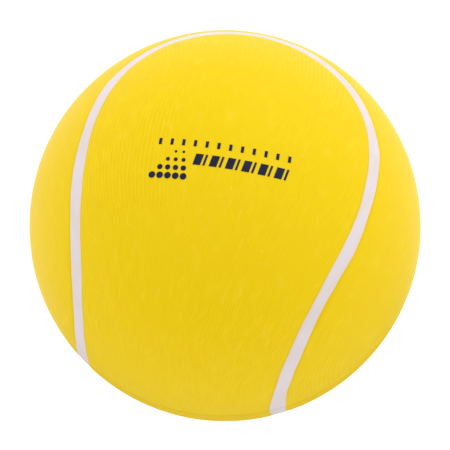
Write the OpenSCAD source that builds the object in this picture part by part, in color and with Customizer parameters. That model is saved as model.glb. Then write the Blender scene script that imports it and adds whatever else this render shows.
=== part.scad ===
// Stress ball: one foam ball in a soft skin that is moulded in two halves, with a
// painted line that winds round it in a shallow groove and a small print on top.
// The origin is the centre of the ball. +Z is the mould axis, up through the print,
// the parting line lies in the plane z = 0, and the line's upper turn leans to +Y.
// Lengths are in millimetres, and angles along the skin are at the ball's centre.

/* [Ball] */
// Diameter of the ball
ball_d = 63; // [55:0.5:75]
// Thickness of the skin round the foam
skin_t = 1.2; // [0.8:0.1:2]
// Gap between the skin halves at the parting line
parting_gap = 0.1; // [0.05:0.05:0.3]
// Clearance between the foam and the inside of the skin
core_gap = 0.1; // [0.05:0.05:0.3]

/* [Line] */
// Width of the painted line
line_w = 2.4; // [1.6:0.1:3.2]
// Depth of the groove that the line is painted in
groove_depth = 0.3; // [0.25:0.05:0.5]
// Thickness of the paint in the groove
paint_t = 0.2; // [0.1:0.05:0.2]
// Angle from the centre of a turn to the line
turn_r = 44.5; // [42:0.5:46]
// Angle by which the centre of a turn leans off its axis
turn_lean = 15; // [13:0.5:17]

/* [Print] */
// Width of the print
print_w = 20.7; // [15:0.1:26]
// Angle by which the print is turned from the +X axis
print_turn = 6.4; // [-20:0.2:20]
// Thickness of the ink on the skin
ink_t = 0.06; // [0.04:0.01:0.1]
// Number of small marks in the top row
mark_count = 12; // [6:1:16]
// Number of bold bars in the bottom row
bar_count = 6; // [3:1:8]

/* [Hidden] */
$fn = 96;

ball_r = ball_d / 2;
core_r = ball_r - skin_t - core_gap;
beyond = 2; // how far a cutter reaches past what it cuts
paint_gap = 0.03; // between the paint and the walls and floor of the groove
run_shy = 0.01; // by how much a run of the line is slimmer than a turn, all round
run_overlap = 0.3; // angle by which a run reaches into the turn at each end
below_parting = 8; // angle by which a side turn is drawn past the parting line

// The line is made of turns and straight runs. Four turns of one radius lie round
// the ball, and a run along a great circle joins each turn to the next. A run's
// middle is a crossing point, half-way between two neighbouring mould axes.
to_crossing = acos(cos(45) * cos(turn_lean)); // from a turn's centre to a crossing point
half_run = acos(cos(to_crossing) / cos(turn_r));
half_turn = 90 + atan(sin(turn_lean)) - atan(tan(half_run) / sin(turn_r));
run_lean = atan2(sin(turn_lean), cos(turn_lean) * cos(45)) + atan2(tan(turn_r), sin(half_run)) - 90;

// Cross-section of a band of a given width between two radii, centred at an angle
// from the axis.
module band_section(off_axis, width, r_in, r_out) {
    half_width = width / 2 / ball_r * 180 / PI;
    low = off_axis - half_width;
    high = off_axis + half_width;
    reach = 2 * r_out;
    intersection() {
        difference() {
            circle(r = r_out);
            circle(r = r_in);
        }
        polygon([
            [0, 0],
            [reach * sin(low), reach * cos(low)],
            [reach * sin(high), reach * cos(high)]
        ]);
    }
}

// A turn round the +Z axis, leaning towards +Y, between two angles from its apex.
module turn(from, to, width, r_in, r_out) {
    rotate([-turn_lean, 0, 0])
    rotate([0, 0, 90 + from])
    rotate_extrude(angle = to - from)
    band_section(turn_r, width, r_in, r_out);
}

// A straight run through the crossing point between +X and +Z. It is a hair slimmer
// than a turn and reaches a little way into it, so the two join as one solid.
module run(width, r_in, r_out) {
    sweep = half_run + run_overlap;
    rotate([0, -45, 0])
    rotate([-run_lean, 0, 0])
    rotate([0, 0, -sweep])
    rotate_extrude(angle = 2 * sweep)
    band_section(90, width - 2 * run_shy, r_in + run_shy, r_out - run_shy);
}

// The half of a side turn that lies above the parting line, on the +X side. It runs
// on a little below that line, where the parting gap trims it.
module side_turn(width, r_in, r_out) {
    mirror([0, 1, 0])
    rotate([0, 90, 0])
    turn(-below_parting, half_turn, width, r_in, r_out);
}

// The turns of the band that lie above the parting line.
module upper_turns(width, r_in, r_out) {
    turn(-half_turn, half_turn, width, r_in, r_out);
    for (side = [0, 1]) {
        mirror([side, 0, 0])
        side_turn(width, r_in, r_out);
    }
}

// The two straight runs above the parting line.
module upper_runs(width, r_in, r_out) {
    for (side = [0, 1]) {
        mirror([side, 0, 0])
        run(width, r_in, r_out);
    }
}

// Half of the space, above the parting gap.
module above_parting() {
    translate([-ball_d, -ball_d, parting_gap / 2])
    cube([2 * ball_d, 2 * ball_d, ball_d]);
}

module half_skin() {
    groove_bottom = ball_r - groove_depth;
    groove_top = ball_r + beyond;
    difference() {
        difference() {
            intersection() {
                sphere(r = ball_r);
                above_parting();
            }
            sphere(r = ball_r - skin_t);
            upper_runs(line_w, groove_bottom, groove_top);
        }
        upper_turns(line_w, groove_bottom, groove_top);
    }
}

module half_line() {
    paint_bottom = ball_r - groove_depth + paint_gap;
    paint_top = paint_bottom + paint_t;
    paint_w = line_w - 2 * paint_gap;
    intersection() {
        union() {
            upper_turns(paint_w, paint_bottom, paint_top);
            upper_runs(paint_w, paint_bottom, paint_top);
        }
        above_parting();
    }
}

// A bar that leans to the right, from its lower left corner.
module slanted_bar(width, height, slant) {
    polygon([[0, 0], [width, 0], [width + slant, height], [slant, height]]);
}

// A row of small upright marks.
module small_marks() {
    mark_w = 0.45;
    left = -9.75;
    right = 10.35;
    pitch = (right - left - mark_w) / (mark_count - 1);
    for (i = [0 : mark_count - 1]) {
        translate([left + i * pitch, 1.8])
        square([mark_w, 1]);
    }
}

// A row of bold bars, each with a thin bar to its right.
module bold_bars() {
    left = -4.1;
    pitch = (10.35 - left + 0.3) / bar_count;
    bar_h = 1.75;
    bar_slant = 0.35;
    for (i = [0 : bar_count - 1]) {
        translate([left + i * pitch, -1.1]) {
            slanted_bar(0.47 * pitch, bar_h, bar_slant);
            translate([0.61 * pitch, 0])
            slanted_bar(0.13 * pitch, bar_h, bar_slant);
        }
    }
}

// A patch of dots that grow towards the bottom.
module dot_patch() {
    for (row = [0 : 3]) {
        dots = 2 + row;
        dot_r = 0.2 + 0.1 * row;
        for (i = [0 : dots - 1]) {
            translate([-6.9 - 1.03 * row + 1.2 * i, 0.75 - 1.28 * row])
            circle(r = dot_r);
        }
    }
}

// The print, drawn for a width of 20.7.
module print_outline() {
    small_marks();
    bold_bars();
    dot_patch();
}

module foam_core() {
    color("khaki")
    sphere(r = core_r);
}

module skin_upper() {
    color("gold")
    half_skin();
}

module skin_lower() {
    color("gold")
    mirror([0, 0, 1])
    half_skin();
}

module line_upper() {
    color("whitesmoke")
    half_line();
}

module line_lower() {
    color("whitesmoke")
    mirror([0, 0, 1])
    half_line();
}

module print() {
    color("midnightblue")
    intersection() {
        difference() {
            sphere(r = ball_r + ink_t);
            sphere(r = ball_r);
        }
        rotate([0, 0, print_turn])
        linear_extrude(ball_r + beyond)
        scale(print_w / 20.7)
        print_outline();
    }
}

foam_core();
skin_upper();
skin_lower();
line_upper();
line_lower();
print();
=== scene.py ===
import math

import bmesh
import bpy
from mathutils import Matrix, Vector


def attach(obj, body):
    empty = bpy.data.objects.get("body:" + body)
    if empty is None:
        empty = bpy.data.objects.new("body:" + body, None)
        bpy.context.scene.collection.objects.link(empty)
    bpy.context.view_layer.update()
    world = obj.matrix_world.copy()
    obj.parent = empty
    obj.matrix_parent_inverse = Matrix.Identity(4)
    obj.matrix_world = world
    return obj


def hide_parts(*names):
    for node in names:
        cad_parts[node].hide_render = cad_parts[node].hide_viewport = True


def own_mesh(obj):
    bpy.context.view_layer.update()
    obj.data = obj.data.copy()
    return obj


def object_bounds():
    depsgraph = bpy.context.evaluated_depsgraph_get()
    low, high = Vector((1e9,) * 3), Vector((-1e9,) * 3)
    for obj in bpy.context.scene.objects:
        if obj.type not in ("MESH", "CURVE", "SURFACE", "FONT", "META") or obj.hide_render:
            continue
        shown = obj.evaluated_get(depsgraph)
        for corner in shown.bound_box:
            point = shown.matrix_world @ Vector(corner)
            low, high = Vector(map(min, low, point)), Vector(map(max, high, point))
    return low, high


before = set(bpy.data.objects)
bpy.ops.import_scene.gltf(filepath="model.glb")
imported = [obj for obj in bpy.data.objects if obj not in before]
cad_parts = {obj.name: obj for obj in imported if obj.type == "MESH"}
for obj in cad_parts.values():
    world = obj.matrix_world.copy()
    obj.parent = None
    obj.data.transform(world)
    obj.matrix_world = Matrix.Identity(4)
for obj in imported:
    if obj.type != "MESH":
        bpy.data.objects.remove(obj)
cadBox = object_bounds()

# Stress ball: two half skins on a foam core, a painted line in a groove, and a print.
# +Z is the mould axis through the middle of the print, and the halves meet at z = 0.
# Lengths are in metres unless a name ends in Mm, and angles are in degrees.

mm = 0.001
centre = (cadBox[0] + cadBox[1]) / 2
ballRadius = (cadBox[1].x - cadBox[0].x) / 2


# small helpers

def addObject(name, data):
    made = bpy.data.objects.new(name, data)
    bpy.context.collection.objects.link(made)
    return made


def link(tree, source, target):
    tree.links.new(source, target)


def setInputs(tree, node, values):
    # values may be numbers or the sockets that feed them
    for key, value in values.items():
        if isinstance(value, bpy.types.NodeSocket):
            link(tree, value, node.inputs[key])
        else:
            node.inputs[key].default_value = value


def addNode(tree, kind, settings=None, values=None):
    node = tree.nodes.new(kind)
    for key, value in (settings or {}).items():
        setattr(node, key, value)
    setInputs(tree, node, values or {})
    return node


def newGroup(name, kind, inputs, outputs):
    # an empty node group with one named socket for each input and output
    tree = bpy.data.node_groups.new(name, kind)
    for label, (socketType, value) in inputs.items():
        socket = tree.interface.new_socket(label, in_out="INPUT", socket_type=socketType)
        if value is not None:
            socket.default_value = value
    for label, socketType in outputs.items():
        tree.interface.new_socket(label, in_out="OUTPUT", socket_type=socketType)
    given = tree.nodes.new("NodeGroupInput").outputs
    result = tree.nodes.new("NodeGroupOutput").inputs
    return tree, given, result


def placeGroup(tree, group, values):
    kind = "ShaderNodeGroup" if tree.type == "SHADER" else "GeometryNodeGroup"
    node = tree.nodes.new(kind)
    node.node_tree = group
    setInputs(tree, node, values)
    return node.outputs


def mathNode(tree, operation, first, second=0.0, third=0.0):
    values = {0: first, 1: second}
    if operation == "MULTIPLY_ADD":
        values[2] = third
    return addNode(tree, "ShaderNodeMath", {"operation": operation}, values).outputs[0]


def vectorNode(tree, operation, first, second=None, scale=None):
    values = {0: first}
    if second is not None:
        values[1] = second
    if scale is not None:
        values["Scale"] = scale
    node = addNode(tree, "ShaderNodeVectorMath", {"operation": operation}, values)
    return node.outputs["Value" if operation == "DOT_PRODUCT" else "Vector"]


def splitXyz(tree, vector):
    return addNode(tree, "ShaderNodeSeparateXYZ", None, {0: vector}).outputs


def joinXyz(tree, x, y, z):
    return addNode(tree, "ShaderNodeCombineXYZ", None, {0: x, 1: y, 2: z}).outputs[0]


def noiseNode(tree, vector, scale, detail, roughness=0.5):
    return addNode(tree, "ShaderNodeTexNoise", None, {
        "Vector": vector, "Scale": scale, "Detail": detail, "Roughness": roughness}).outputs


def rampNode(tree, value, low, high, outLow=0.0, outHigh=1.0):
    # a smooth step from outLow to outHigh
    node = addNode(tree, "ShaderNodeMapRange", {"interpolation_type": "SMOOTHSTEP"}, {
        "Value": value, "From Min": low, "From Max": high, "To Min": outLow, "To Max": outHigh})
    return node.outputs["Result"]


def mixColour(tree, share, first, second):
    node = addNode(tree, "ShaderNodeMix", {"data_type": "RGBA"})
    setInputs(tree, node, {0: share, 6: first, 7: second})
    return node.outputs[2]


def storeFloat(tree, geometry, name, value):
    # keeps one number for each point of the mesh, and returns the mesh and the number
    settings = {"data_type": "FLOAT", "domain": "POINT"}
    stored = addNode(tree, "GeometryNodeStoreNamedAttribute", settings, {
        "Geometry": geometry, "Name": name, "Value": value})
    kept = addNode(tree, "GeometryNodeInputNamedAttribute", {"data_type": "FLOAT"}, {"Name": name})
    return stored.outputs["Geometry"], kept.outputs["Attribute"]


def addCube(tree, divisions):
    count = mathNode(tree, "ADD", divisions, 1.0)
    return addNode(tree, "GeometryNodeMeshCube", None, {
        "Size": (2.0, 2.0, 2.0), "Vertices X": count, "Vertices Y": count, "Vertices Z": count,
    }).outputs["Mesh"]


def finishMesh(tree, geometry, material, target):
    real = addNode(tree, "GeometryNodeRealizeInstances", None, {"Geometry": geometry})
    painted = addNode(tree, "GeometryNodeSetMaterial", None, {
        "Geometry": real.outputs["Geometry"], "Material": material})
    link(tree, painted.outputs["Geometry"], target)


def runTree(name, tree, settings):
    # evaluates a geometry tree on an empty mesh and returns the plain mesh piece
    carrier = addObject(name + "Carrier", bpy.data.meshes.new(name + "Carrier"))
    modifier = carrier.modifiers.new("build", "NODES")
    modifier.node_group = tree
    for item in tree.interface.items_tree:
        if item.item_type == "SOCKET" and item.in_out == "INPUT" and item.name in settings:
            modifier[item.identifier] = settings[item.name]
    graph = bpy.context.evaluated_depsgraph_get()
    mesh = bpy.data.meshes.new_from_object(carrier.evaluated_get(graph), depsgraph=graph)
    bpy.data.objects.remove(carrier)
    mesh.name = name
    return addObject(name, mesh)


# the camera looks down on the print, from a little to the right of the front

cameraValues = {
    "azimuth": 19.2,
    "elevation": 72.0,
    "roll": 4.0,
    "distanceInRadii": 12.85,
    "ballWidthInFrame": 0.8695,  # share of the frame's width that the ball spans
    "shiftUp": 0.0013,
    "sensorMm": 36.0,
}


def makeCamera(values):
    azimuth, elevation = math.radians(values["azimuth"]), math.radians(values["elevation"])
    back = Vector((
        math.sin(azimuth) * math.cos(elevation),
        -math.cos(azimuth) * math.cos(elevation),
        math.sin(elevation)))
    distance = values["distanceInRadii"] * ballRadius
    limbSlope = 1 / math.sqrt(values["distanceInRadii"] ** 2 - 1)
    data = bpy.data.cameras.new("camera")
    data.sensor_width = values["sensorMm"]
    data.lens = values["sensorMm"] * values["ballWidthInFrame"] / 2 / limbSlope
    data.shift_y = values["shiftUp"]
    data.clip_start = 0.01
    data.clip_end = 20
    data.dof.use_dof = False
    camera = addObject("camera", data)
    turned = (-back).to_track_quat("-Z", "Y").to_matrix() @ Matrix.Rotation(
        math.radians(-values["roll"]), 3, "Z")
    camera.matrix_world = Matrix.Translation(centre + back * distance) @ turned.to_4x4()
    bpy.context.scene.camera = camera


makeCamera(cameraValues)
print("camera placed")


# the path of the line: four turns round the ball, joined by great-circle runs

lineValues = {
    "turnRadius": 44.5,  # angle from the centre of a turn to the line
    "turnLean": 15.0,  # how far a turn's centre leans off its axis
    "widthMm": 2.5,
    "grooveDepthMm": 0.1,
    "shoulderMm": 0.6,
    "filmMm": 0.06,
    "wobble": 0.28,  # how far each edge wanders, as a share of the half width
    "flare": 0.1,  # extra width where the line meets the parting line
    "flareReachMm": 7.0,
    "pathStep": 0.5,  # degrees between points of the path
}


def turnPath(start, end, values):
    # points of the turn round +Z, which leans towards +Y; angles are from its apex
    lean = Matrix.Rotation(math.radians(-values["turnLean"]), 3, "X")
    radius = math.radians(values["turnRadius"])
    count = max(2, round(abs(end - start) / values["pathStep"]))
    points = []
    for i in range(count + 1):
        angle = math.radians(90 + start + (end - start) * i / count)
        onAxis = Vector((
            math.sin(radius) * math.cos(angle),
            math.sin(radius) * math.sin(angle),
            math.cos(radius)))
        points.append(lean @ onAxis)
    return points


def linePath(values):
    # the upper half of the line as directions, from the +X crossing to the -X one
    lean, radius = math.radians(values["turnLean"]), math.radians(values["turnRadius"])
    toCrossing = math.acos(math.cos(math.radians(45)) * math.cos(lean))
    halfRun = math.acos(math.cos(toCrossing) / math.cos(radius))
    halfTurn = 90 + math.degrees(
        math.atan(math.sin(lean)) - math.atan(math.tan(halfRun) / math.sin(radius)))
    sideTurn = Matrix.Scale(-1, 3, (0, 1, 0)) @ Matrix.Rotation(math.radians(90), 3, "Y")
    right = [sideTurn @ p for p in turnPath(0, halfTurn, values)]
    top = turnPath(-halfTurn, 0, values)
    runStart, runEnd = right[-1], top[0]
    count = round(math.degrees(2 * halfRun) / values["pathStep"])
    run = [runStart.slerp(runEnd, i / count) for i in range(1, count)]
    half = right + run + top
    mirrored = [Vector((-p.x, p.y, p.z)) for p in reversed(half[:-1])]
    return half + mirrored


def makePathCurve(points):
    data = bpy.data.curves.new("linePath", "CURVE")
    data.dimensions = "3D"
    spline = data.splines.new("POLY")
    spline.points.add(len(points) - 1)
    for point, direction in zip(spline.points, points):
        point.co = (*(centre + direction * ballRadius), 1)
    return addObject("linePath", data)


pathPoints = linePath(lineValues)
pathLength = sum((b - a).length for a, b in zip(pathPoints, pathPoints[1:])) * ballRadius
pathCurve = makePathCurve(pathPoints)
print("line path: %d points, %.1f mm" % (len(pathPoints), pathLength / mm))


# the skin's relief, shared by the skin and the paint that lies on it

reliefValues = {
    "dipMm": 0.16,  # depth of the fine nick where the halves meet
    "dipWidthMm": 0.24,
    "lipMm": 0.06,  # soft ridge beside the nick
    "lipWidthMm": 1.1,
    "lumpMm": 0.05,  # slow unevenness of the moulded foam
    "lumpSizeMm": 14.0,
    "rippleMm": 0.008,
    "ripplePitchMm": 1.5,
}


def makeReliefGroup(values, line):
    # height over the ball's sphere, from a direction and a distance to the line's middle
    tree, given, result = newGroup("skinRelief", "GeometryNodeTree", {
        "Direction": ("NodeSocketVector", None),
        "Line Distance": ("NodeSocketFloat", 1.0),
        "Radius": ("NodeSocketFloat", ballRadius),
        "Groove Depth": ("NodeSocketFloat", line["grooveDepthMm"] * mm),
        "Shoulder": ("NodeSocketFloat", line["shoulderMm"] * mm),
        "Half Width": ("NodeSocketFloat", line["widthMm"] / 2 * mm),
    }, {"Height": "NodeSocketFloat"})
    direction = given["Direction"]

    inner = mathNode(tree, "MULTIPLY_ADD", given["Shoulder"], -0.45, given["Half Width"])
    outer = mathNode(tree, "ADD", given["Half Width"], given["Shoulder"])
    deepest = mathNode(tree, "MULTIPLY", given["Groove Depth"], -1.0)
    groove = rampNode(tree, given["Line Distance"], inner, outer, deepest, 0.0)

    height = mathNode(tree, "ABSOLUTE", splitXyz(tree, direction)["Z"])
    above = mathNode(tree, "MULTIPLY", height, given["Radius"])
    dip = rampNode(tree, above, 0.0, values["dipWidthMm"] * mm, -values["dipMm"] * mm, 0.0)
    lip = rampNode(tree, above, 0.0, values["lipWidthMm"] * mm, values["lipMm"] * mm, 0.0)

    onBall = vectorNode(tree, "SCALE", direction, scale=given["Radius"])
    lumps = noiseNode(tree, onBall, 1 / (values["lumpSizeMm"] * mm), 1.0, 0.4)
    lump = mathNode(
        tree, "MULTIPLY_ADD", lumps["Fac"], values["lumpMm"] * mm, -values["lumpMm"] * mm / 2)

    # ripples lie in planes across X, so the pattern hardly changes along Y and Z
    stretched = vectorNode(tree, "MULTIPLY", direction, (1.0, 0.08, 0.12))
    drawnOut = vectorNode(tree, "SCALE", stretched, scale=given["Radius"])
    ripples = noiseNode(tree, drawnOut, 1 / (values["ripplePitchMm"] * mm), 1.0)
    ripple = mathNode(
        tree, "MULTIPLY_ADD", ripples["Fac"], values["rippleMm"] * mm, -values["rippleMm"] * mm / 2)

    total = groove
    for part in (dip, lip, lump, ripple):
        total = mathNode(tree, "ADD", total, part)
    link(tree, total, result["Height"])
    return tree


reliefGroup = makeReliefGroup(reliefValues, lineValues)


# shader groups that several materials share

def makeGrainGroup():
    # grain and ripples drawn out along lines that fan out from a point on -Y, in mm:
    # a height for bump and a tint mask, both round 0.5
    tree, given, result = newGroup("drawnGrain", "ShaderNodeTree", {
        "Vector": ("NodeSocketVector", None),
        "Pitch": ("NodeSocketFloat", 0.5),
        "Stretch": ("NodeSocketFloat", 0.16),
        "Wander": ("NodeSocketFloat", 1.44),
        "Fan Distance": ("NodeSocketFloat", 77.0),
        "Ripple Pitch": ("NodeSocketFloat", 0.56),
        "Ripple Share": ("NodeSocketFloat", 0.1),
        "Sway": ("NodeSocketFloat", 7.0),
        "Fade Start": ("NodeSocketFloat", 19.0),
        "Fade End": ("NodeSocketFloat", 28.0),
    }, {"Height": "NodeSocketFloat", "Tint": "NodeSocketFloat"})
    inMm = vectorNode(tree, "SCALE", given["Vector"], scale=1 / mm)
    place = splitXyz(tree, inMm)

    # along the fan's lines only this first number changes little
    fromPoint = mathNode(tree, "ADD", place["Y"], given["Fan Distance"])
    fan = mathNode(tree, "DIVIDE", given["Fan Distance"], fromPoint)
    fanned = mathNode(tree, "MULTIPLY", place["X"], fan)
    bend = noiseNode(tree, inMm, 0.09, 2.0)
    centred = mathNode(tree, "SUBTRACT", splitXyz(tree, bend["Color"])["X"], 0.5)
    bent = mathNode(tree, "MULTIPLY_ADD", centred, given["Wander"], fanned)
    drawn = vectorNode(
        tree, "MULTIPLY", joinXyz(tree, bent, place["Y"], place["Z"]),
        joinXyz(tree, 1.0, given["Stretch"], given["Stretch"]))
    perMm = mathNode(tree, "DIVIDE", 1.0, given["Pitch"])
    fine = noiseNode(tree, drawn, perMm, 2.5, 0.55)

    # strong in patches, and faint at the two sides
    patches = noiseNode(tree, inMm, 0.055, 1.5)
    inPatches = rampNode(tree, patches["Fac"], 0.36, 0.62, 0.25, 1.0)
    atSides = rampNode(
        tree, mathNode(tree, "ABSOLUTE", place["X"]), given["Fade Start"], given["Fade End"], 1.0, 0.1)
    strength = mathNode(tree, "MULTIPLY", inPatches, atSides)

    sway = noiseNode(tree, inMm, 0.045, 0.5, 0.4)
    phase = mathNode(tree, "MULTIPLY_ADD", sway["Fac"], given["Sway"], fanned)
    wholeTurns = mathNode(tree, "DIVIDE", phase, given["Ripple Pitch"])
    wave = mathNode(tree, "SINE", mathNode(tree, "MULTIPLY", wholeTurns, 2 * math.pi))
    rippleShare = mathNode(tree, "MULTIPLY", inPatches, given["Ripple Share"])
    ripple = mathNode(tree, "MULTIPLY", wave, rippleShare)
    grain = mathNode(
        tree, "MULTIPLY_ADD", mathNode(tree, "SUBTRACT", fine["Fac"], 0.5), 0.65, ripple)
    link(tree, mathNode(tree, "MULTIPLY_ADD", grain, strength, 0.5), result["Height"])

    alongY = mathNode(tree, "MULTIPLY", place["Y"], 0.4)
    alongZ = mathNode(tree, "MULTIPLY", place["Z"], 0.5)
    longPatches = joinXyz(tree, bent, alongY, alongZ)
    slow = noiseNode(tree, longPatches, mathNode(tree, "MULTIPLY", perMm, 0.3), 3.0, 0.55)
    link(tree, slow["Fac"], result["Tint"])
    return tree


def makeSpeckGroup():
    # scattered pinholes and specks: 1 inside a speck, 0 outside
    tree, given, result = newGroup("specks", "ShaderNodeTree", {
        "Vector": ("NodeSocketVector", None),
        "Per Mm": ("NodeSocketFloat", 0.45),
        "Size": ("NodeSocketFloat", 0.08),
        "Share": ("NodeSocketFloat", 0.25),
    }, {"Mask": "NodeSocketFloat"})
    cells = addNode(tree, "ShaderNodeTexVoronoi", {"feature": "F1"}, {
        "Vector": vectorNode(tree, "SCALE", given["Vector"], scale=1 / mm),
        "Scale": given["Per Mm"], "Randomness": 1.0}).outputs
    dot = mathNode(tree, "LESS_THAN", cells["Distance"], given["Size"])
    pick = addNode(tree, "ShaderNodeSeparateColor", None, {0: cells["Color"]}).outputs[0]
    chosen = mathNode(tree, "LESS_THAN", pick, given["Share"])
    link(tree, mathNode(tree, "MULTIPLY", dot, chosen), result["Mask"])
    return tree


grainGroup = makeGrainGroup()
speckGroup = makeSpeckGroup()


# materials

def newMaterial(name):
    # the material's tree, its surface node, and the place on the piece in metres
    material = bpy.data.materials.new(name)
    material.use_nodes = True
    tree = material.node_tree
    place = addNode(tree, "ShaderNodeTexCoord").outputs["Object"]
    return material, tree, tree.nodes["Principled BSDF"], place


def addBump(tree, surface, height, depth, strength=1.0):
    bump = addNode(tree, "ShaderNodeBump", None, {
        "Height": height, "Distance": depth, "Strength": strength})
    link(tree, bump.outputs[0], surface.inputs["Normal"])


def attribute(tree, name):
    return addNode(tree, "ShaderNodeAttribute", {"attribute_name": name}).outputs["Fac"]


skinLook = {
    "yellow": (0.86, 0.61, 0.003, 1),
    "deepYellow": (0.815, 0.562, 0.002, 1),
    "paleYellow": (0.89, 0.67, 0.035, 1),
    # painted shade: a darker ochre for the groove's shoulders beside the line
    "grooveShadeOchre": (0.74, 0.48, 0.003, 1),
    # painted shade: a deeper yellow for the band just below the parting line
    "shadeBelowParting": (0.85, 0.555, 0.002, 1),
    # painted shade: a dark yellow for the fine nick where the halves meet
    "partingShade": (0.52, 0.33, 0.004, 1),
    "speck": (0.90, 0.70, 0.13, 1),
    "bloomShare": 0.3,
    "grooveShadeShare": 0.45,  # in the groove's shoulders
    "shadeBelowPartingShare": 0.7,  # just below the parting line
    "partingShadeShare": 0.35,
    "speckShare": 0.35,
    "roughness": 0.5,
    "specular": 0.09,
    "sheen": 0.02,
    "sheenRoughness": 0.4,
    "grainDepthMm": 0.035,
    "grainPitchMm": 0.38,
}


def makeSkinMaterial(look):
    material, tree, surface, place = newMaterial("yellowSkin")
    grain = placeGroup(tree, grainGroup, {"Vector": place, "Pitch": look["grainPitchMm"]})
    specks = placeGroup(tree, speckGroup, {"Vector": place})
    pits = placeGroup(tree, speckGroup, {
        "Vector": place, "Per Mm": 0.8, "Size": 0.09, "Share": 0.12})
    tint = rampNode(tree, grain["Height"], 0.36, 0.64)
    colour = mixColour(tree, tint, look["deepYellow"], look["yellow"])
    bloom = rampNode(tree, grain["Tint"], 0.5, 0.75, 0.0, look["bloomShare"])
    colour = mixColour(tree, bloom, colour, look["paleYellow"])
    # painted shade: the skin turns darker ochre beside the line, where the groove's shoulders fall into
    # shade
    halfWidth = lineValues["widthMm"] / 2 * mm
    grooveShadeMask = rampNode(
        tree, attribute(tree, "lineDistance"), halfWidth, halfWidth + 0.5 * mm, look["grooveShadeShare"], 0.0)
    colour = mixColour(tree, grooveShadeMask, colour, look["grooveShadeOchre"])
    # painted shade: a deeper yellow from the parting line down to 3 to 6 mm below it, where the lower
    # half turns away from the light
    height = splitXyz(tree, place)["Z"]
    nearParting = rampNode(tree, height, -6.0 * mm, -3.0 * mm)
    underParting = rampNode(tree, height, -0.2 * mm, 0.0, look["shadeBelowPartingShare"], 0.0)
    below = mathNode(tree, "MULTIPLY", nearParting, underParting)
    colour = mixColour(tree, below, colour, look["shadeBelowParting"])
    # painted shade: the skin darkens within 0.35 mm of the parting line, as shade in the nick there
    partingShade = rampNode(
        tree, mathNode(tree, "ABSOLUTE", height), 0.05 * mm, 0.35 * mm, look["partingShadeShare"], 0.0)
    colour = mixColour(tree, partingShade, colour, look["partingShade"])
    speck = mathNode(tree, "MULTIPLY", specks["Mask"], look["speckShare"])
    colour = mixColour(tree, speck, colour, look["speck"])
    rough = rampNode(
        tree, grain["Tint"], 0.3, 0.7, look["roughness"] - 0.04, look["roughness"] + 0.05)
    setInputs(tree, surface, {
        "Base Color": colour,
        "Roughness": rough,
        "Sheen Weight": look["sheen"],
        "Sheen Roughness": look["sheenRoughness"],
        "Specular IOR Level": look["specular"],
    })
    relief = mathNode(tree, "MULTIPLY_ADD", pits["Mask"], -0.35, grain["Height"])
    addBump(tree, surface, relief, look["grainDepthMm"] * mm)
    return material


lineLook = {
    "white": (0.745, 0.668, 0.683, 1),
    "shade": (0.727, 0.637, 0.622, 1),
    "thin": (0.76, 0.655, 0.53, 1),
    # painted shade: a darker tone for the paint where it crosses the parting nick
    "partingShade": (0.55, 0.46, 0.50, 1),
    "thinShare": 0.6,  # at the edges
    "speckShare": 0.5,
    "partingShadeShare": 0.6,
    "roughness": 0.5,
    "specular": 0.08,
    "brushDepthMm": 0.02,
}


def makeLineMaterial(look):
    material, tree, surface, place = newMaterial("linePaint")
    grain = placeGroup(tree, grainGroup, {"Vector": place, "Pitch": 0.8, "Stretch": 0.15})
    specks = placeGroup(tree, speckGroup, {
        "Vector": place, "Per Mm": 0.5, "Size": 0.12, "Share": 0.15})
    tint = rampNode(tree, grain["Tint"], 0.35, 0.65)
    colour = mixColour(tree, tint, look["shade"], look["white"])
    fromMiddle = mathNode(tree, "ABSOLUTE", attribute(tree, "acrossLine"))
    edge = rampNode(tree, fromMiddle, 0.86, 1.0, 0.0, look["thinShare"])
    colour = mixColour(tree, edge, colour, look["thin"])
    speck = mathNode(tree, "MULTIPLY", specks["Mask"], look["speckShare"])
    colour = mixColour(tree, speck, colour, look["thin"])
    # painted shade: the paint darkens within 0.35 mm of the parting line, as shade in the nick there
    height = mathNode(tree, "ABSOLUTE", splitXyz(tree, place)["Z"])
    partingShade = rampNode(tree, height, 0.05 * mm, 0.35 * mm, look["partingShadeShare"], 0.0)
    colour = mixColour(tree, partingShade, colour, look["partingShade"])
    rough = rampNode(
        tree, grain["Height"], 0.3, 0.7, look["roughness"] - 0.06, look["roughness"] + 0.06)
    setInputs(tree, surface, {
        "Base Color": colour, "Roughness": rough, "Specular IOR Level": look["specular"]})
    addBump(tree, surface, grain["Height"], look["brushDepthMm"] * mm)
    return material


inkLook = {
    "navy": (0.012, 0.015, 0.042, 1),
    "worn": (0.04, 0.042, 0.06, 1),
    "roughness": 0.42,
    "specular": 0.12,
    "grainDepthMm": 0.01,
}


def makeInkMaterial(look):
    material, tree, surface, place = newMaterial("printInk")
    grain = placeGroup(tree, grainGroup, {"Vector": place, "Pitch": 0.4, "Stretch": 0.2})
    specks = placeGroup(tree, speckGroup, {
        "Vector": place, "Per Mm": 2.0, "Size": 0.18, "Share": 0.2})
    rubbed = rampNode(tree, grain["Tint"], 0.5, 0.75, 0.0, 0.6)
    worn = mathNode(tree, "MAXIMUM", rubbed, mathNode(tree, "MULTIPLY", specks["Mask"], 0.5))
    rough = rampNode(
        tree, grain["Height"], 0.3, 0.7, look["roughness"] - 0.08, look["roughness"] + 0.08)
    setInputs(tree, surface, {
        "Base Color": mixColour(tree, worn, look["navy"], look["worn"]),
        "Roughness": rough,
        "Specular IOR Level": look["specular"],
    })
    addBump(tree, surface, grain["Height"], look["grainDepthMm"] * mm)
    return material


foamLook = {
    "cream": (0.80, 0.66, 0.30, 1),
    "cell": (0.50, 0.36, 0.10, 1),
    "cellsPerMm": 1.6,
    "cellDepthMm": 0.25,
}


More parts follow.
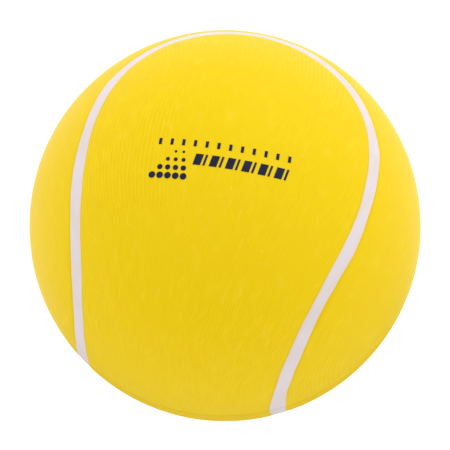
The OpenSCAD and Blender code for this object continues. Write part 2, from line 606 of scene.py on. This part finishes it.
def makeFoamMaterial(look):
    material, tree, surface, place = newMaterial("openCellFoam")
    inMm = vectorNode(tree, "SCALE", place, scale=1 / mm)
    cells = addNode(tree, "ShaderNodeTexVoronoi", {"feature": "DISTANCE_TO_EDGE"}, {
        "Vector": inMm, "Scale": look["cellsPerMm"]})
    wall = rampNode(tree, cells.outputs["Distance"], 0.02, 0.22, 1.0, 0.0)
    setInputs(tree, surface, {
        "Base Color": mixColour(tree, wall, look["cell"], look["cream"]),
        "Roughness": rampNode(tree, wall, 0.0, 1.0, 0.95, 0.8),
    })
    addBump(tree, surface, wall, look["cellDepthMm"] * mm, 0.9)
    return material


skinMaterial = makeSkinMaterial(skinLook)
lineMaterial = makeLineMaterial(lineLook)
inkMaterial = makeInkMaterial(inkLook)
foamMaterial = makeFoamMaterial(foamLook)
print("materials made")


# half skins: closed walls with the relief on the outside

skinValues = {
    "divisions": 156,  # of each side of the cube that is blown up to a ball
    "thicknessMm": 1.2,
    "rimCrowding": 0.25,  # how close the first rows lie to the parting line
    "rimReach": 0.16,
    "innerRings": 20,
}


def makeSkinTree():
    tree, given, result = newGroup("halfSkin", "GeometryNodeTree", {
        "Radius": ("NodeSocketFloat", ballRadius),
        "Divisions": ("NodeSocketInt", 16),
        "Path": ("NodeSocketObject", None),
        "Crowding": ("NodeSocketFloat", 0.25),
        "Reach": ("NodeSocketFloat", 0.16),
        "Material": ("NodeSocketMaterial", None),
    }, {"Mesh": "NodeSocketGeometry"})
    place = tree.nodes.new("GeometryNodeInputPosition").outputs[0]
    x, y, z = splitXyz(tree, place).values()
    belowMiddle = addNode(
        tree, "FunctionNodeCompare", {"operation": "LESS_THAN"}, {"A": z, "B": -0.001}).outputs[0]
    upper = addNode(tree, "GeometryNodeDeleteGeometry", {"domain": "POINT"}, {
        "Geometry": addCube(tree, given["Divisions"]), "Selection": belowMiddle})

    # rows crowd towards the parting line, and equal steps become equal angles
    crowd = rampNode(tree, z, 0.0, given["Reach"], given["Crowding"], 1.0)
    tangents = []
    for part in (x, y, mathNode(tree, "MULTIPLY", z, crowd)):
        angle = mathNode(tree, "MULTIPLY", part, math.pi / 4)
        tangents.append(mathNode(tree, "TANGENT", angle))
    direction = vectorNode(tree, "NORMALIZE", joinXyz(tree, *tangents))
    ball = addNode(tree, "GeometryNodeSetPosition", None, {
        "Geometry": upper.outputs["Geometry"],
        "Position": vectorNode(tree, "SCALE", direction, scale=given["Radius"])})

    # the distance to the middle of the line is kept for the material
    path = addNode(tree, "GeometryNodeObjectInfo", None, {"Object": given["Path"]})
    wire = addNode(tree, "GeometryNodeCurveToMesh", None, {"Curve": path.outputs["Geometry"]})
    near = addNode(tree, "GeometryNodeProximity", {"target_element": "EDGES"}, {
        0: wire.outputs["Mesh"]})
    stored, kept = storeFloat(
        tree, ball.outputs["Geometry"], "lineDistance", near.outputs["Distance"])

    here = vectorNode(tree, "NORMALIZE", place)
    relief = placeGroup(tree, reliefGroup, {
        "Direction": here, "Line Distance": kept, "Radius": given["Radius"]})["Height"]
    formed = addNode(tree, "GeometryNodeSetPosition", None, {
        "Geometry": stored, "Offset": vectorNode(tree, "SCALE", here, scale=relief)})
    finishMesh(tree, formed.outputs["Geometry"], given["Material"], result["Mesh"])
    return tree


def closeShell(piece, innerRadius, rings):
    # adds the flat rim and the inside of the half skin, so that it is a closed wall
    shell = bmesh.new()
    shell.from_mesh(piece.data)
    bmesh.ops.remove_doubles(shell, verts=shell.verts, dist=1e-7)
    rim = sorted(
        (v for v in shell.verts if v.is_boundary), key=lambda v: math.atan2(v.co.y, v.co.x))
    loops = [rim]
    for ring in range(rings):
        tilt = math.radians(90 * ring / rings)
        loop = []
        for vertex in rim:
            point = Vector((vertex.co.x, vertex.co.y, 0)).normalized()
            point *= innerRadius * math.cos(tilt)
            point.z = vertex.co.z + innerRadius * math.sin(tilt)
            loop.append(shell.verts.new(point))
        loops.append(loop)
    pole = shell.verts.new((0, 0, rim[0].co.z + innerRadius))
    count = len(rim)
    for outer, inner in zip(loops, loops[1:]):
        for i in range(count):
            j = (i + 1) % count
            shell.faces.new((outer[i], outer[j], inner[j], inner[i]))
    for i in range(count):
        shell.faces.new((loops[-1][i], loops[-1][(i + 1) % count], pole))
    bmesh.ops.recalc_face_normals(shell, faces=shell.faces)
    shell.to_mesh(piece.data)
    shell.free()
    piece.data.shade_smooth()


def mirrorDown(piece, name):
    # the lower half is the upper one turned over in the plane of the parting line
    mesh = piece.data.copy()
    mesh.name = name
    mesh.transform(Matrix.Scale(-1, 4, (0, 0, 1)))
    mesh.flip_normals()
    return addObject(name, mesh)


skinUpper = runTree("skinUpper", makeSkinTree(), {
    "Radius": ballRadius,
    "Divisions": skinValues["divisions"],
    "Path": pathCurve,
    "Crowding": skinValues["rimCrowding"],
    "Reach": skinValues["rimReach"],
    "Material": skinMaterial,
})
closeShell(skinUpper, ballRadius - skinValues["thicknessMm"] * mm, skinValues["innerRings"])
skinLower = mirrorDown(skinUpper, "skinLower")
print("half skins: %d faces each" % len(skinUpper.data.polygons))


# painted line: a film that lies on the relief

stripValues = {
    "along": 900,
    "across": 13,
    "endCrowding": 0.75,
    "edgeTuckMm": 0.02,
    "thicknessMm": 0.1,
    "seed": 3.0,
}


def makeStripTree():
    tree, given, result = newGroup("paintStrip", "GeometryNodeTree", {
        "Path": ("NodeSocketObject", None),
        "Radius": ("NodeSocketFloat", ballRadius),
        "Along": ("NodeSocketInt", 60),
        "Across": ("NodeSocketInt", 9),
        "End Crowding": ("NodeSocketFloat", 0.75),
        "Half Width": ("NodeSocketFloat", 0.0012),
        "Film": ("NodeSocketFloat", 0.00005),
        "Tuck": ("NodeSocketFloat", 0.00002),
        "Wobble": ("NodeSocketFloat", 0.1),
        "Flare": ("NodeSocketFloat", 0.1),
        "Flare Reach": ("NodeSocketFloat", 0.007),
        "Seed": ("NodeSocketFloat", 3.0),
        "Material": ("NodeSocketMaterial", None),
    }, {"Mesh": "NodeSocketGeometry"})
    grid = addNode(tree, "GeometryNodeMeshGrid", None, {
        "Size X": 1.0, "Size Y": 2.0, "Vertices X": given["Along"], "Vertices Y": given["Across"]})
    parts = splitXyz(tree, tree.nodes.new("GeometryNodeInputPosition").outputs[0])
    eased = mathNode(tree, "SINE", mathNode(tree, "MULTIPLY", parts["Y"], math.pi / 2))
    stored, across = storeFloat(tree, grid.outputs["Mesh"], "acrossLine", eased)

    # steps are short near the ends, where the line crosses the parting line
    share = mathNode(tree, "ADD", parts["X"], 0.5)
    wave = mathNode(tree, "SINE", mathNode(tree, "MULTIPLY", share, 2 * math.pi))
    crowding = mathNode(tree, "DIVIDE", given["End Crowding"], -2 * math.pi)
    path = addNode(tree, "GeometryNodeObjectInfo", None, {"Object": given["Path"]})
    sample = addNode(tree, "GeometryNodeSampleCurve", {"mode": "FACTOR", "use_all_curves": True}, {
        "Curves": path.outputs["Geometry"],
        "Factor": mathNode(tree, "MULTIPLY_ADD", wave, crowding, share)}).outputs
    middle = sample["Position"]
    radial = vectorNode(tree, "NORMALIZE", middle)
    sideways = vectorNode(
        tree, "NORMALIZE", vectorNode(tree, "CROSS_PRODUCT", sample["Tangent"], radial))

    # each edge wanders on its own, as a hand-painted line does
    seed = mathNode(tree, "MULTIPLY_ADD", mathNode(tree, "SIGN", across), 7.0, given["Seed"])
    wander = addNode(tree, "ShaderNodeTexNoise", {"noise_dimensions": "4D"}, {
        "Vector": middle, "W": seed, "Scale": 75.0, "Detail": 3.5, "Roughness": 0.5})
    centred = mathNode(tree, "SUBTRACT", wander.outputs["Fac"], 0.5)
    wobble = mathNode(tree, "MULTIPLY", given["Wobble"], 4.0)
    flare = rampNode(
        tree, splitXyz(tree, middle)["Z"], 0.0, given["Flare Reach"], given["Flare"], 0.0)
    spread = mathNode(tree, "ADD", mathNode(tree, "MULTIPLY_ADD", centred, wobble, 1.0), flare)
    offset = mathNode(
        tree, "MULTIPLY", mathNode(tree, "MULTIPLY", across, given["Half Width"]), spread)
    aside = vectorNode(tree, "ADD", middle, vectorNode(tree, "SCALE", sideways, scale=offset))
    direction = vectorNode(tree, "NORMALIZE", aside)
    relief = placeGroup(tree, reliefGroup, {
        "Direction": direction,
        "Line Distance": mathNode(tree, "ABSOLUTE", offset),
        "Radius": given["Radius"]})["Height"]

    # the film is full across the middle and thins out to its tucked-in edges
    toEdge = mathNode(tree, "POWER", mathNode(tree, "ABSOLUTE", across), 10.0)
    rounded = mathNode(tree, "SUBTRACT", 1.0, toEdge)
    full = mathNode(tree, "ADD", given["Film"], given["Tuck"])
    film = mathNode(tree, "SUBTRACT", mathNode(tree, "MULTIPLY", rounded, full), given["Tuck"])
    height = mathNode(tree, "ADD", mathNode(tree, "ADD", relief, film), given["Radius"])
    laid = addNode(tree, "GeometryNodeSetPosition", None, {
        "Geometry": stored, "Position": vectorNode(tree, "SCALE", direction, scale=height)})
    finishMesh(tree, laid.outputs["Geometry"], given["Material"], result["Mesh"])
    return tree


def thicken(piece, depth):
    # gives an open sheet its thickness towards the middle of the ball
    sheet = bmesh.new()
    sheet.from_mesh(piece.data)
    top = list(sheet.faces)
    if sum(f.normal.dot(f.calc_center_median()) for f in top) < 0:
        bmesh.ops.reverse_faces(sheet, faces=top)
    below = {v: sheet.verts.new(v.co - v.co.normalized() * depth) for v in list(sheet.verts)}
    across = sheet.verts.layers.float.get("acrossLine")
    for v, low in below.items():
        low[across] = v[across]
    border = [e for e in sheet.edges if e.is_boundary]
    for face in top:
        sheet.faces.new([below[v] for v in reversed(face.verts)])
    for edge in border:
        a, b = edge.verts
        sheet.faces.new((b, a, below[a], below[b]))
    bmesh.ops.recalc_face_normals(sheet, faces=sheet.faces)
    sheet.to_mesh(piece.data)
    sheet.free()
    piece.data.shade_smooth()


lineUpper = runTree("lineUpper", makeStripTree(), {
    "Path": pathCurve,
    "Radius": ballRadius,
    "Along": stripValues["along"],
    "Across": stripValues["across"],
    "End Crowding": stripValues["endCrowding"],
    "Half Width": lineValues["widthMm"] / 2 * mm,
    "Film": lineValues["filmMm"] * mm,
    "Tuck": stripValues["edgeTuckMm"] * mm,
    "Wobble": lineValues["wobble"],
    "Flare": lineValues["flare"],
    "Flare Reach": lineValues["flareReachMm"] * mm,
    "Seed": stripValues["seed"],
    "Material": lineMaterial,
})
thicken(lineUpper, stripValues["thicknessMm"] * mm)
lineLower = mirrorDown(lineUpper, "lineLower")
bpy.data.objects.remove(pathCurve)
print("painted line: %d faces each half" % len(lineUpper.data.polygons))


def makePrint():
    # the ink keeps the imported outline, welded from its loose triangles
    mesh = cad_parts["print"].data.copy()
    mesh.name = "inkPrint"
    welded = bmesh.new()
    welded.from_mesh(mesh)
    bmesh.ops.remove_doubles(welded, verts=welded.verts, dist=1e-6)
    welded.to_mesh(mesh)
    welded.free()
    mesh.materials.clear()
    mesh.materials.append(inkMaterial)
    mesh.shade_flat()
    return addObject("inkPrint", mesh)


inkPrint = makePrint()
print("print made")


# foam core, hidden inside the skins

foamValues = {
    "radiusMm": 30.2,
    "divisions": 56,
    "roughMm": 0.12,
    "roughSizeMm": 3.0,
}


def makeFoamTree():
    tree, given, result = newGroup("foamBall", "GeometryNodeTree", {
        "Radius": ("NodeSocketFloat", 0.03),
        "Divisions": ("NodeSocketInt", 16),
        "Roughness": ("NodeSocketFloat", 0.0001),
        "Rough Size": ("NodeSocketFloat", 0.003),
        "Material": ("NodeSocketMaterial", None),
    }, {"Mesh": "NodeSocketGeometry"})
    place = tree.nodes.new("GeometryNodeInputPosition").outputs[0]
    direction = vectorNode(tree, "NORMALIZE", place)
    onBall = vectorNode(tree, "SCALE", direction, scale=given["Radius"])
    pores = noiseNode(tree, onBall, mathNode(tree, "DIVIDE", 1.0, given["Rough Size"]), 2.0)
    sunk = mathNode(tree, "MULTIPLY", pores["Fac"], given["Roughness"])
    radius = mathNode(tree, "SUBTRACT", given["Radius"], sunk)
    formed = addNode(tree, "GeometryNodeSetPosition", None, {
        "Geometry": addCube(tree, given["Divisions"]),
        "Position": vectorNode(tree, "SCALE", direction, scale=radius)})
    finishMesh(tree, formed.outputs["Geometry"], given["Material"], result["Mesh"])
    return tree


foamCore = runTree("foamCore", makeFoamTree(), {
    "Radius": foamValues["radiusMm"] * mm,
    "Divisions": foamValues["divisions"],
    "Roughness": foamValues["roughMm"] * mm,
    "Rough Size": foamValues["roughSizeMm"] * mm,
    "Material": foamMaterial,
})
foamCore.data.shade_smooth()
print("foam core made")


# what each piece stands for and the half that it is fixed to; the listed poles and slot names are not
# used here

topPole = (0, 0, ballRadius)
bottomPole = (0, 0, -ballRadius)

for piece, node, body, anchor, slotName in (
    (foamCore, "foam_core", "lower_half", bottomPole, "foam"),
    (skinLower, "skin_lower", "lower_half", bottomPole, "skin"),
    (lineLower, "line_lower", "lower_half", bottomPole, "line_paint"),
    (skinUpper, "skin_upper", "upper_half", topPole, "skin"),
    (lineUpper, "line_upper", "upper_half", topPole, "line_paint"),
    (inkPrint, "print", "upper_half", topPole, "ink"),
):
    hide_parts(node)
    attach(piece, body)
    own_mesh(piece)
print("pieces fixed to their halves")


# floor and light

stageValues = {
    "floorRadius": 4.0,
    "floorWhite": 0.5,
    "floorGlow": 0.76,
    "frontMirrored": 0.0,  # how bright the floor in front looks when it is mirrored
    "world": 1.06,
    "worldFront": 0.66,  # dimmer towards -Y
}


def makeFloor(values):
    disc = bmesh.new()
    bmesh.ops.create_circle(disc, cap_ends=True, segments=96, radius=values["floorRadius"])
    mesh = bpy.data.meshes.new("floor")
    disc.to_mesh(mesh)
    disc.free()
    mesh.transform(Matrix.Translation((0, 0, cadBox[0].z)))
    material, tree, surface, place = newMaterial("paleFloor")

    # the floor looks white, but the skin mirrors a darker one on the camera's side
    azimuth = math.radians(cameraValues["azimuth"])
    front = vectorNode(tree, "DOT_PRODUCT", place, (math.sin(azimuth), -math.cos(azimuth), 0.0))
    dimmed = rampNode(tree, front, 0.0, 0.8 * ballRadius, 1.0, values["frontMirrored"])
    mirrored = addNode(tree, "ShaderNodeLightPath").outputs["Is Glossy Ray"]
    seen = mathNode(tree, "MULTIPLY_ADD", mirrored, mathNode(tree, "SUBTRACT", dimmed, 1.0), 1.0)
    white = mathNode(tree, "MULTIPLY", seen, values["floorWhite"])
    colour = addNode(tree, "ShaderNodeCombineColor", None, {0: white, 1: white, 2: white})
    setInputs(tree, surface, {
        "Base Color": colour.outputs[0],
        "Roughness": 0.9,
        "Specular IOR Level": 0.1,
        "Emission Color": (1, 1, 1, 1),
        "Emission Strength": mathNode(tree, "MULTIPLY", seen, values["floorGlow"]),
    })
    mesh.materials.append(material)
    addObject("floor", mesh)


lightValues = {
    "key": {"from": (0.21, 0.78, 0.53), "distance": 0.9, "size": 0.8, "power": 1.5},
    "fill": {"from": (-0.8, -0.4, 0.5), "distance": 1.0, "size": 0.8, "power": 0.34},
}


def makeLight(name, values):
    data = bpy.data.lights.new(name, "AREA")
    data.shape = "DISK"
    data.size = values["size"]
    data.energy = values["power"]
    light = addObject(name, data)
    direction = Vector(values["from"]).normalized()
    turned = direction.to_track_quat("Z", "Y").to_matrix().to_4x4()
    light.matrix_world = Matrix.Translation(centre + direction * values["distance"]) @ turned


def makeWorld(values):
    world = bpy.data.worlds.new("studio")
    world.use_nodes = True
    tree = world.node_tree
    direction = addNode(tree, "ShaderNodeTexCoord").outputs["Generated"]
    y = splitXyz(tree, direction)["Y"]
    strength = rampNode(tree, y, -0.95, -0.2, values["worldFront"], values["world"])
    setInputs(tree, tree.nodes["Background"], {"Color": (1, 1, 1, 1), "Strength": strength})
    bpy.context.scene.world = world


makeFloor(stageValues)
for lightName, lightSettings in lightValues.items():
    makeLight(lightName, lightSettings)
makeWorld(stageValues)
bpy.context.scene.view_settings.view_transform = "Standard"
print("floor and lights placed")
